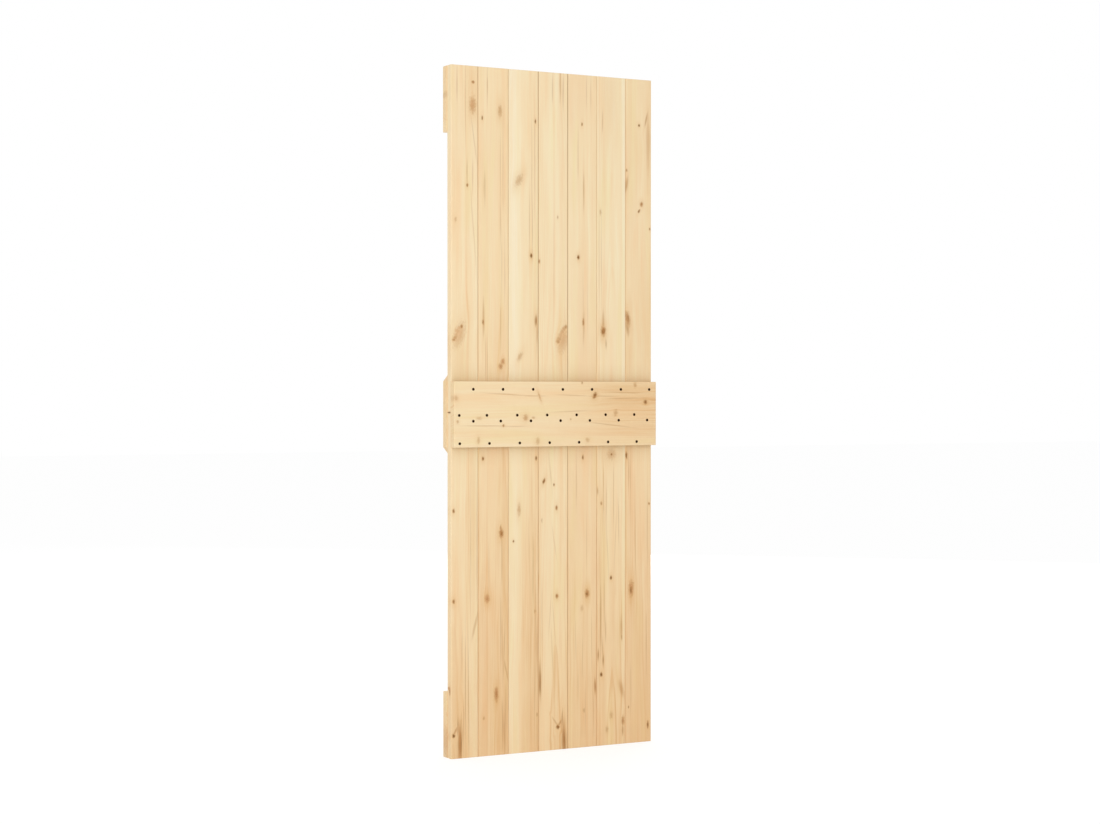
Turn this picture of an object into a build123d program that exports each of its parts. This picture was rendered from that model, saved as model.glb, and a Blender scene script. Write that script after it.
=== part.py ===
"""Boarded barn door leaf in pine, 700 mm wide and 2100 mm high.

Seven upright tongue-and-groove boards are held together by one rail screwed across the middle of the back, and by
three rails and two slanting braces on the front.

Millimetres, +Z up. The origin is the middle of the front top rail's face, where the hangers are bolted on, and +Y
points straight out of that face. +X is to the right for someone who looks at the back of the door.
"""
import os
from math import copysign, hypot, sqrt

from build123d import *

# Overall size
door_height = 2100.0
rail_length = 700.0
rail_overhang = 2.0  # how far a rail end stands past the boards

# Rails and braces
rail_height = 200.0
rail_thickness = 28.0
middle_rail_centre = 1043.5  # above the foot of the door
brace_width = 100.0
edge_radius = 2.0  # along the outer edges of rails and braces

# Boards
board_thickness = 28.0
board_pitch = 102.5  # face width of a whole board
left_board_width = 90.0  # the left board is ripped down to this
least_right_board = 50.0  # the right board takes the rest, and never less than this
v_joint = 1.5  # bevel along the long edges of a board
end_bevel = 1.0  # bevel across the ends of a board

# Tongue and groove
tongue_length = 9.0
tongue_thickness = 8.0
tongue_tip_bevel = 1.0
shoulder_gap = 0.6  # open joint between the edges of two boards
cheek_clearance = 0.2  # on each face of the tongue
tip_clearance = 1.0  # beyond the tip of the tongue

# Countersunk screws, each in a 90 degree seat
screw_head_diameter = 9.0
screw_seat_clearance = 0.15  # around the head
screw_edge_margin = 14.0  # least distance from a board's right edge
# Back rail, four rows with one screw to a board: drop below the rail's top as a share of its height, then the place
# across a whole board and across the narrower left board, as shares of their widths
back_screw_rows = (
    (0.12, 0.69, 0.68),
    (0.515, 0.16, 0.16),
    (0.603, 0.615, 0.68),
    (0.941, 0.245, 0.18),
)
# Front top and bottom rails, two rows with one screw to a board: drop, then the place across the board
front_screw_rows = ((0.27, 0.3), (0.73, 0.7))
# Braces, one screw to each of the two whole boards nearest either end, by turns on either side of the middle line
brace_screw_offset = 18.0  # square to the middle line

# Levels, from the middle of the top rail
top_level = rail_height / 2
foot_level = top_level - door_height
middle_level = foot_level + middle_rail_centre
bottom_rail_level = foot_level + rail_height / 2

# Depths of the three layers, measured back from the front face of the rails
board_front = rail_thickness
board_back = board_front + board_thickness
back_face = board_back + rail_thickness
board_centre_y = -(board_front + board_back) / 2


def board_edges():
    """Left and right face edges of each board, from left to right across the door."""
    panel_left = -rail_length / 2 + rail_overhang
    panel_right = rail_length / 2 - rail_overhang
    first_joint = panel_left + left_board_width
    whole_boards = int((panel_right - least_right_board - first_joint) // board_pitch)
    joints = [first_joint + board_pitch * count for count in range(whole_boards + 1)]
    return list(zip([panel_left] + joints, joints + [panel_right]))


def back_screw_places(boards):
    """Screw centres on the back rail, as X and Z."""
    places = []
    for drop, across_whole, across_left in back_screw_rows:
        level = middle_level + rail_height / 2 - drop * rail_height
        for left, right in boards:
            step = across_left * left_board_width if left == boards[0][0] else across_whole * board_pitch
            places.append((min(left + step, right - screw_edge_margin), level))
    return places


def front_screw_places(boards, level):
    """Screw centres on a front rail, as X and Z."""
    return [
        (left + across * (right - left), level + rail_height / 2 - drop * rail_height)
        for drop, across in front_screw_rows
        for left, right in boards
    ]


def brace_screw_places(boards, start, end):
    """Screw centres on a brace whose middle line runs from start to end, as X and Z."""
    run, rise = end[0] - start[0], end[1] - start[1]
    length = hypot(run, rise)
    places = []
    for side, (left, right) in zip((1, -1, 1, -1), boards[1:3] + boards[-3:-1]):
        share = ((left + right) / 2 - start[0]) / run
        shift = side * brace_screw_offset / length
        x = start[0] + share * run - shift * abs(rise)
        z = start[1] + share * rise + shift * copysign(run, rise)
        places.append((x, z))
    return places


def cut_seats(face, places, turn=0):
    """Cuts a conical seat for a screw head at each place on a face, turned to point into the wood."""
    seat_radius = screw_head_diameter / 2 + screw_seat_clearance
    with Locations(face):
        with Locations(*places):
            Cone(
                bottom_radius=seat_radius,
                top_radius=0,
                height=seat_radius,
                rotation=(turn, 0, 0),
                align=(Align.CENTER, Align.CENTER, Align.MIN),
                mode=Mode.SUBTRACT,
            )


def make_board(left, right, grooved, tongued):
    """One upright board, with a groove along its left edge and a tongue along its right edge where asked for."""
    body_left = left + shoulder_gap / 2 if grooved else left
    body_right = right - shoulder_gap / 2 if tongued else right
    groove_width = tongue_thickness + 2 * cheek_clearance
    groove_depth = tongue_length + tip_clearance - shoulder_gap
    with BuildPart() as board:
        with BuildSketch(Plane.XY.offset(foot_level)) as profile:
            with Locations(((body_left + body_right) / 2, board_centre_y)):
                Rectangle(body_right - body_left, board_thickness)
            chamfer(profile.vertices(), length=v_joint)
            if tongued:
                with Locations((body_right, board_centre_y)):
                    Rectangle(tongue_length, tongue_thickness, align=(Align.MIN, Align.CENTER))
                chamfer(profile.vertices().group_by(Axis.X)[-1], length=tongue_tip_bevel)
            if grooved:
                with Locations((body_left, board_centre_y)):
                    Rectangle(groove_depth, groove_width, align=(Align.MIN, Align.CENTER), mode=Mode.SUBTRACT)
        extrude(amount=door_height)
        across = board.edges().filter_by(Axis.X).group_by(Axis.Y)
        chamfer(across[0] + across[-1], length=end_bevel)
    return board.part


def make_front_rail(level, screws=()):
    """One rail across the front, level with the other front pieces, with the seats of its screws."""
    with BuildPart() as rail:
        with BuildSketch(Plane.XZ):
            with Locations((0, level)):
                Rectangle(rail_length, rail_height)
        extrude(amount=rail_thickness)
        fillet(rail.faces().sort_by(Axis.Y)[-1].edges(), radius=edge_radius)
        if screws:
            cut_seats(Plane.XZ, screws)
    return rail.part


def make_brace(boards, left_level, right_level):
    """One slanting brace, from a left rail end to the right end of the next rail, cut to fit flat on both."""
    rise = abs(right_level - left_level)
    diagonal = sqrt(rail_length**2 + rise**2 - brace_width**2)
    cut = brace_width * (rise * diagonal - brace_width * rail_length) / (rise**2 - brace_width**2)
    left_end = -rail_length / 2
    right_end = rail_length / 2
    with BuildPart() as brace:
        with BuildSketch(Plane.XZ):
            with BuildLine():
                Polyline(
                    (left_end, left_level),
                    (left_end + cut, left_level),
                    (right_end, right_level),
                    (right_end - cut, right_level),
                    close=True,
                )
            make_face()
        extrude(amount=rail_thickness)
        slanted = brace.faces().sort_by(Axis.Y)[-1].edges().sort_by(SortBy.LENGTH)[-2:]
        fillet(slanted, radius=edge_radius)
        middle_line = (left_end + cut / 2, left_level), (right_end - cut / 2, right_level)
        cut_seats(Plane.XZ, brace_screw_places(boards, *middle_line))
    return brace.part


boards = board_edges()
pieces = {}

# Upright boards, tongue to groove from left to right
for number, (left, right) in enumerate(boards, start=1):
    pieces[f"board_{number}"] = make_board(left, right, grooved=number > 1, tongued=number < len(boards))

# Back rail, with a conical seat for each screw head
with BuildPart() as back_middle_rail:
    with BuildSketch(Plane.XZ.offset(board_back)):
        with Locations((0, middle_level)):
            Rectangle(rail_length, rail_height)
    extrude(amount=rail_thickness)
    fillet(back_middle_rail.faces().sort_by(Axis.Y)[0].edges(), radius=edge_radius)
    cut_seats(Plane.XZ.offset(back_face), back_screw_places(boards), turn=180)
pieces["back_middle_rail"] = back_middle_rail.part

# Front rails: the long screws of the back rail hold the middle one, and the others have screws of their own
pieces["front_top_rail"] = make_front_rail(0, front_screw_places(boards, 0))
pieces["front_middle_rail"] = make_front_rail(middle_level)
pieces["front_bottom_rail"] = make_front_rail(bottom_rail_level, front_screw_places(boards, bottom_rail_level))

# Front braces, both from the left end of the middle rail
pieces["front_upper_brace"] = make_brace(boards, middle_level + rail_height / 2, -rail_height / 2)
pieces["front_lower_brace"] = make_brace(boards, middle_level - rail_height / 2, bottom_rail_level + rail_height / 2)

os.makedirs("parts", exist_ok=True)
for name, piece in pieces.items():
    piece.label = name
    export_step(piece, f"parts/{name}.step")
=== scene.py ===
"""Pine barn door leaf: wood, screws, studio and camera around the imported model."""
import math

import bmesh
import bpy
from mathutils import Matrix, Vector


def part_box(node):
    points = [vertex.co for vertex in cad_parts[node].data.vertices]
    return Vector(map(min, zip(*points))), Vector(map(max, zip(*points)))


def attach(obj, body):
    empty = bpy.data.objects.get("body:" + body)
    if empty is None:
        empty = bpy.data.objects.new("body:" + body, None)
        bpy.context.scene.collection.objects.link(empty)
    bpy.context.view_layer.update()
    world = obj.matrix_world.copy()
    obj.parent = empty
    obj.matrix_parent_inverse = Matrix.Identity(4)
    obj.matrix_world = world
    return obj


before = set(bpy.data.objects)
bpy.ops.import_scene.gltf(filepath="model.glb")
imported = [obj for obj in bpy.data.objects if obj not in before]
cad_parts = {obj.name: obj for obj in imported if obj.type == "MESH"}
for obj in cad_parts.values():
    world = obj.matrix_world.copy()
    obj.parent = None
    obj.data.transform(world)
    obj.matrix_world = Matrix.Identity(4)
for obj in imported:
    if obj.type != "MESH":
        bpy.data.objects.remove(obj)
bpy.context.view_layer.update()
MM = 0.001

# The door, in metres: what the model's boxes give, then the sizes that they don't show
BOARD_COUNT = 7
board_low, board_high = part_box("board_1")
rail_low, rail_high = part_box("back_middle_rail")
FOOT = board_low.z
PANEL_LEFT = board_low.x
PANEL_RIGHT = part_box(f"board_{BOARD_COUNT}")[1].x
BOARD_MIDDLE_Y = (board_low.y + board_high.y) / 2
BACK_FACE_Y = rail_low.y
FRONT_FACE_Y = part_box("front_top_rail")[1].y
RAIL_LENGTH = rail_high.x - rail_low.x
RAIL_HEIGHT = rail_high.z - rail_low.z
LEFT_BOARD_WIDTH = 0.090
BOARD_PITCH = 0.1025
BRACE_WIDTH = 0.100
Z_UP, X_RIGHT = (0.0, 0.0, 1.0), (1.0, 0.0, 0.0)
SMOOTH, PLAIN, USUAL, RICH = 0.0, 1.0, 2.0, 3.0  # how detailed a noise is


def middle_of(node):
    low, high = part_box(node)
    return (low + high) / 2


def linear(red, green, blue):
    """A colour given in 0 to 255 display values, as the shader wants it."""
    def one(value):
        value /= 255
        return value / 12.92 if value <= 0.04045 else ((value + 0.055) / 1.055) ** 2.4
    return one(red), one(green), one(blue), 1.0


def grey(value):
    return value, value, value, 1.0


class Graph:
    """Short calls for building a node tree. A value is either a socket to link or a constant to set."""

    def __init__(self, tree):
        self.tree = tree

    def put(self, socket, value):
        if isinstance(value, bpy.types.NodeSocket):
            self.tree.links.new(value, socket)
        else:
            socket.default_value = value

    def node(self, kind, inputs=None, **settings):
        made = self.tree.nodes.new(kind)
        for name, value in settings.items():
            setattr(made, name, value)
        for key, value in (inputs or {}).items():
            self.put(made.inputs[key], value)
        return made

    def math(self, operation, *values, clamp=False):
        made = self.node("ShaderNodeMath", operation=operation, use_clamp=clamp)
        for socket, value in zip(made.inputs, values):
            self.put(socket, value)
        return made.outputs[0]

    def scaled(self, value, factor, offset=0.0, clamp=False):
        """value times factor plus offset."""
        return self.math("ADD", self.math("MULTIPLY", value, factor), offset, clamp=clamp)

    def vector(self, operation, *values):
        made = self.node("ShaderNodeVectorMath", operation=operation)
        for socket, value in zip(made.inputs, values):
            self.put(socket, value)
        return made.outputs["Value" if operation == "DOT_PRODUCT" else "Vector"]

    def parts(self, vector):
        return self.node("ShaderNodeSeparateXYZ", {0: vector}).outputs

    def join(self, x, y, z):
        return self.node("ShaderNodeCombineXYZ", {0: x, 1: y, 2: z}).outputs[0]

    def smooth(self, value, low, high):
        """0 at low, 1 at high, eased between."""
        made = self.node("ShaderNodeMapRange", {0: value, 1: low, 2: high}, interpolation_type="SMOOTHSTEP")
        return made.outputs[0]

    def noise(self, place, pace=None, detail=USUAL, roughness=0.5):
        """Soft noise around 0, about -0.5 to 0.5. pace is how finely it repeats along each axis."""
        if pace:
            place = self.vector("MULTIPLY", place, pace)
        made = self.node("ShaderNodeTexNoise", {"Vector": place, "Scale": 1.0, "Detail": detail,
                                                "Roughness": roughness})
        return self.math("SUBTRACT", made.outputs[0], 0.5)

    def bell(self, value, sharpness):
        """1 at 0, falling off with the square of the value."""
        return self.math("EXPONENT", self.math("MULTIPLY", self.math("MULTIPLY", value, value), -sharpness))

    def length(self, x, y):
        return self.math("SQRT", self.math("ADD", self.math("MULTIPLY", x, x), self.math("MULTIPLY", y, y)))

    def colours(self, factor, first, second, blend="MIX"):
        """Two colours mixed or multiplied."""
        sockets = {0: factor, 6: first, 7: second}
        return self.node("ShaderNodeMix", sockets, data_type="RGBA", blend_type=blend).outputs[2]

    def mixed(self, factor, first, second):
        """Two numbers mixed."""
        return self.node("ShaderNodeMix", {0: factor, 2: first, 3: second}, data_type="FLOAT").outputs[0]

    def ramp(self, factor, stops, ease="LINEAR"):
        """A ramp through (place, colour) stops. A new ramp has two."""
        made = self.node("ShaderNodeValToRGB", {0: factor})
        made.color_ramp.interpolation = ease
        elements = made.color_ramp.elements
        for index, (place, colour) in enumerate(stops):
            element = elements[index] if index < 2 else elements.new(place)
            element.position = place
            element.color = colour
        return made.outputs[0]


def new_group(name, inputs, outputs):
    """A shader group with these sockets. Returns its graph, its input sockets by name and its output node."""
    tree = bpy.data.node_groups.new(name, "ShaderNodeTree")
    for direction, labels in (("INPUT", inputs), ("OUTPUT", outputs)):
        for label, kind in labels.items():
            tree.interface.new_socket(label, in_out=direction, socket_type="NodeSocket" + kind)
    graph = Graph(tree)
    return graph, graph.node("NodeGroupInput").outputs, graph.node("NodeGroupOutput")


def new_material(name):
    """An empty material and its graph."""
    material = bpy.data.materials.new(name)
    material.use_nodes = True
    graph = Graph(material.node_tree)
    graph.tree.nodes.clear()
    return material, graph


# The form of a knot, as (soft mark, tight knot). Distances are shares of its half size.
KNOT_RAGGED = (1.7, 1.1)
KNOT_OUTSIDE = (1.75, 1.58)
KNOT_INSIDE = (0.15, 0.40)
KNOT_MOTTLED = (0.9, 0.6)
RIM_START = (0.5, 0.1)
RIM_PALENESS = (0.30, 0.50)
RIM_END = 1.3
# Rings and bark of a tight knot
RING_PACE = 17.0
RING_DEPTH = 0.10
BARK_AT = 0.86
BARK_SHARPNESS = 55.0
BARK_DEPTH = 0.12
# The tint around a knot and the grain that it pushes aside: how much a distance across and along counts
HALO_SHARES = (0.48, 0.36)
HALO_RAGGED = 0.7
PUSH_SHARES = (0.45, 0.35)
PUSH = -0.75


def make_knot_group():
    """One knot or streak, added to those before it. Its place is across and along the board, its size is half
    sizes. Tight is 1 for a knot with a clear outline and rings, 0 for a soft mark. Push is how far the grain
    beside it is pushed aside."""
    graph, given, out = new_group(
        "knot",
        {"Place": "Vector", "Ragged": "Float", "Mottle": "Float", "Core": "Float", "Dark": "Float",
         "Halo": "Float", "Push": "Float", "Across": "Float", "Along": "Float", "Half Width": "Float",
         "Half Height": "Float", "Slant": "Float", "Darkness": "Float", "Strength": "Float", "Glow": "Float",
         "Tight": "Float"},
        {"Core": "Float", "Dark": "Float", "Halo": "Float", "Push": "Float"})
    math_ = graph.math
    tight, ragged = given["Tight"], given["Ragged"]
    place = graph.parts(given["Place"])
    dx = math_("SUBTRACT", place[0], given["Across"])
    dz = math_("SUBTRACT", place[2], given["Along"])
    cosine, sine = math_("COSINE", given["Slant"]), math_("SINE", given["Slant"])
    wide = math_("ADD", math_("MULTIPLY", dx, cosine), math_("MULTIPLY", dz, sine))
    tall = math_("SUBTRACT", math_("MULTIPLY", dz, cosine), math_("MULTIPLY", dx, sine))
    wide = math_("DIVIDE", wide, given["Half Width"])
    tall = math_("DIVIDE", tall, given["Half Height"])

    def reach(wide_share, tall_share):
        return graph.length(math_("MULTIPLY", wide, wide_share), math_("MULTIPLY", tall, tall_share))

    def by_kind(values):
        return graph.mixed(tight, *values)

    near = math_("ADD", reach(1.0, 1.0), math_("MULTIPLY", ragged, by_kind(KNOT_RAGGED)))
    outline = graph.smooth(near, by_kind(KNOT_OUTSIDE), by_kind(KNOT_INSIDE))
    core = math_("MULTIPLY", outline, given["Strength"])
    around = math_("ADD", reach(*HALO_SHARES), math_("MULTIPLY", ragged, HALO_RAGGED))
    halo = math_("MULTIPLY", graph.bell(around, 1.0), given["Glow"])
    rings = math_("MULTIPLY", math_("COSINE", math_("MULTIPLY", near, RING_PACE)), RING_DEPTH)
    bark = math_("MULTIPLY", graph.bell(math_("SUBTRACT", near, BARK_AT), BARK_SHARPNESS), BARK_DEPTH)
    darker = math_("ADD", given["Darkness"], math_("MULTIPLY", given["Mottle"], by_kind(KNOT_MOTTLED)))
    paler_rim = math_("MULTIPLY", graph.smooth(near, by_kind(RIM_START), RIM_END), by_kind(RIM_PALENESS))
    darker = math_("SUBTRACT", darker, paler_rim)
    darker = math_("ADD", darker, math_("MULTIPLY", math_("ADD", rings, bark), tight))
    aside = math_("MULTIPLY", math_("MULTIPLY", dx, PUSH), graph.bell(reach(*PUSH_SHARES), 1.0))
    graph.put(out.inputs["Core"], math_("MAXIMUM", given["Core"], core))
    graph.put(out.inputs["Dark"], graph.mixed(core, given["Dark"], darker))
    graph.put(out.inputs["Halo"], math_("MAXIMUM", given["Halo"], halo))
    graph.put(out.inputs["Push"], math_("ADD", given["Push"], math_("MULTIPLY", aside, given["Strength"])))
    return graph.tree


WOOD_TONES = (
    (0.00, linear(209, 159, 102)),
    (0.25, linear(232, 191, 140)),
    (0.50, linear(245, 216, 171)),
    (0.75, linear(249, 230, 191)),
    (1.00, linear(252, 239, 212)),
)
KNOT_TONES = (
    (0.0, linear(219, 165, 116)),
    (0.35, linear(185, 131, 76)),
    (0.7, linear(138, 95, 42)),
    (1.0, linear(90, 60, 18)),
)
GOLDEN = linear(222, 172, 108)
GOLDEN_SHARE = 0.58
BLUSH = linear(240, 200, 156)
END_GRAIN = linear(252, 249, 245)
ROSE = (1.0, 0.945, 0.90, 1.0)
STRAW = (0.985, 1.0, 0.93, 1.0)
# Painted shade: the colour is multiplied towards this in the corners beside the rails
PAINTED_CORNER_SHADE = (0.55, 0.55, 0.54, 1.0)
# Painted shade in the joints between the boards
SEAM = linear(168, 128, 82)

# Patterns in the grain: how finely each repeats across and along it, and how far the first four shift it
BEND, BEND_SHIFT = (6.0, 4.0), 0.016
RIPPLE, RIPPLE_SHIFT = (20.0, 13.0), 0.0045
WANDER, WANDER_SHIFT = (0.0, 1.3), 0.020
SWAY, SWAY_SHIFT = (6.0, 3.5), 0.007
LINED, BROAD, STREAK = (20.0, 2.4), (38.0, 1.2), (150.0, 4.5)
FIBRE, FEATHER, CLOUD, HUE = (900.0, 14.0), (75.0, 9.0), (9.0, 1.5), (26.0, 2.4)
FIBRE_ROUGHNESS = 0.6
# Growth rings: uneven widths, years of unequal strength, and the dark late wood as shares of a ring
UNEVEN_PACE, UNEVEN_RINGS = 55.0, 3.4
YEAR_PACE, YEAR_SLICE, YEAR_SWING, YEAR_BASE = (1.7, 1.7, 1.7), 0.5, 2.4, 0.48
LATE_START, LATE_FULL, LATE_FADE, RING_END = 0.42, 0.90, 0.93, 1.0
LINED_FROM, LINED_TO, LINED_SHARE = -0.20, 0.18, 0.8
# How much each pattern changes the tone, the roughness and the height of the surface
BROAD_TONE, STREAK_TONE, STREAK_LINED_TONE, FEATHER_TONE, FIBRE_TONE = 0.26, 0.10, 0.22, 0.13, 0.12
RING_TONE, END_RING_TONE, KNOT_FIBRE_TONE = 1.35, 0.15, 0.3
ROSY_FROM, ROSY_TO, HUE_RANGE = -0.15, 0.25, 0.26
WOOD_ROUGHNESS, FIBRE_ROUGHENS, KNOT_SMOOTHS, END_ROUGHENS = 0.60, 0.16, 0.12, 0.15
LATE_HEIGHT, FIBRE_HEIGHT, KNOT_HEIGHT = 0.55, 0.55, 0.5


def make_pine_group():
    """Pine cut from a log: growth rings round a pith line, streaks, fibres and the knots handed in."""
    graph, given, out = new_group(
        "pine",
        {"Place": "Vector", "Seed": "Float", "Pith Across": "Float", "Pith Through": "Float", "Lean": "Float",
         "Ring Width": "Float", "Contrast": "Float", "Tone": "Float", "Blush": "Float", "Core": "Float",
         "Dark": "Float", "Halo": "Float", "End": "Float"},
        {"Color": "Color", "Roughness": "Float", "Height": "Float"})
    math_, scaled = graph.math, graph.scaled
    place = graph.parts(given["Place"])
    seed = given["Seed"]

    def pattern(at, pace, detail=USUAL, roughness=0.5):
        across, along = pace
        return graph.noise(at, (across, across, along), detail, roughness)

    def added(value, pattern_value, amount):
        return math_("ADD", value, math_("MULTIPLY", pattern_value, amount))

    own = graph.vector("ADD", given["Place"], graph.join(seed, seed, seed))
    bend = math_("MULTIPLY", pattern(own, BEND, PLAIN), BEND_SHIFT)
    ripple = math_("MULTIPLY", pattern(own, RIPPLE, PLAIN), RIPPLE_SHIFT)
    own = graph.vector("ADD", own, graph.join(math_("ADD", bend, ripple), 0.0, 0.0))

    # Growth rings, with a pith that wanders and leans along the board
    from_pith = math_("SUBTRACT", place[0], given["Pith Across"])
    from_pith = added(from_pith, pattern(own, WANDER, PLAIN), WANDER_SHIFT)
    depth = math_("SUBTRACT", place[1], given["Pith Through"])
    depth = added(depth, given["Lean"], place[2])
    radius = added(graph.length(from_pith, depth), pattern(own, SWAY, PLAIN), SWAY_SHIFT)
    uneven = graph.noise(graph.join(math_("MULTIPLY", radius, UNEVEN_PACE), seed, 0.0), detail=PLAIN)
    phase = added(math_("DIVIDE", radius, given["Ring Width"]), uneven, UNEVEN_RINGS)
    part = math_("FRACT", phase)
    year = graph.noise(graph.join(math_("FLOOR", phase), seed, YEAR_SLICE), YEAR_PACE, SMOOTH)
    darkening = graph.smooth(part, LATE_START, LATE_FULL)
    late = math_("MULTIPLY", darkening, graph.smooth(part, RING_END, LATE_FADE))
    late = math_("MULTIPLY", late, scaled(year, YEAR_SWING, YEAR_BASE, clamp=True))
    lined = graph.smooth(pattern(own, LINED, PLAIN), LINED_FROM, LINED_TO)
    shown = math_("MULTIPLY", late, scaled(lined, LINED_SHARE, 1 - LINED_SHARE))

    # Streaks and fibres along the grain
    fibre = pattern(own, FIBRE, RICH, FIBRE_ROUGHNESS)
    hue = pattern(own, HUE)
    tone = added(given["Tone"], pattern(own, BROAD), BROAD_TONE)
    tone = added(tone, pattern(own, STREAK), scaled(lined, STREAK_LINED_TONE, STREAK_TONE))
    tone = added(tone, pattern(own, FEATHER), FEATHER_TONE)
    tone = added(tone, fibre, FIBRE_TONE)
    tone = added(tone, math_("MULTIPLY", shown, given["Contrast"]), -RING_TONE)
    tone = added(tone, math_("MULTIPLY", late, given["End"]), -END_RING_TONE)
    colour = graph.ramp(tone, WOOD_TONES)
    rosy = math_("MULTIPLY", graph.smooth(pattern(own, CLOUD), ROSY_FROM, ROSY_TO), given["Blush"])
    colour = graph.colours(rosy, colour, BLUSH)
    colour = graph.colours(graph.smooth(hue, 0.0, HUE_RANGE), colour, ROSE, "MULTIPLY")
    colour = graph.colours(graph.smooth(hue, 0.0, -HUE_RANGE), colour, STRAW, "MULTIPLY")
    colour = graph.colours(given["End"], colour, END_GRAIN, "MULTIPLY")
    colour = graph.colours(math_("MULTIPLY", given["Halo"], GOLDEN_SHARE), colour, GOLDEN)
    knot_tone = added(given["Dark"], fibre, KNOT_FIBRE_TONE)
    colour = graph.colours(given["Core"], colour, graph.ramp(knot_tone, KNOT_TONES))

    rough = added(WOOD_ROUGHNESS, fibre, FIBRE_ROUGHENS)
    rough = added(rough, given["Core"], -KNOT_SMOOTHS)
    rough = added(rough, given["End"], END_ROUGHENS)
    height = added(math_("MULTIPLY", late, LATE_HEIGHT), fibre, FIBRE_HEIGHT)
    height = added(height, given["Core"], KNOT_HEIGHT)
    for name, value in (("Color", colour), ("Roughness", rough), ("Height", height)):
        graph.put(out.inputs[name], value)
    return graph.tree


SMALL_KNOT = 12.0  # millimetres; a narrower one tints the wood around it less
LONG_MARK = 3.5  # times as long as wide; such a mark has no rings, and frays along the grain
FAINT_KNOT = 0.45  # strength; one no stronger has a soft outline
CLEAR_KNOT = 0.35  # strength beyond that at which the outline is clear
# How finely a knot's outline, its mottling and a long mark's fibres repeat
RAGGED_PACE = (210.0, 210.0, 125.0)
MOTTLE_PACE = (420.0, 420.0, 260.0)
FIBROUS_PACE = (420.0, 420.0, 17.0)
# How far a face has to face along the piece to be end grain, and through it to be a broad face
END_FACING = (0.75, 0.95)
BROAD_FACING = (0.7, 0.95)
# The bands across a board drift along it. Contrast is this much stronger where the painted light falloff is
# darker.
DRIFT_PACE, DRIFT_SHIFT = (0.0, 0.0, 1.7), 0.014
CONTRAST_BASE = 1.2
# Joints: where the shade fades towards the foot, how much of it stays, how much the drift changes it, and
# its edge
SEAM_FADE, SEAM_LEAST, SEAM_DRIFT, SEAM_EDGE = (0.1, 1.4), 0.5, 0.8, (0.0018, 0.0008)
# Painted shade from ambient occlusion in the corners beside the rails: how far it reaches, and where it
# starts above the foot
CORNER_SHADE_REACH, CORNER_SHADE_SAMPLES, CORNER_SHADE_START = 0.06, 8, (0.02, 0.10)
BUMP_STRENGTH, BUMP_DEPTH = 0.35, 0.0005
WOOD_SHEEN = 0.30
knot_group = make_knot_group()
pine_group = make_pine_group()


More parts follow.
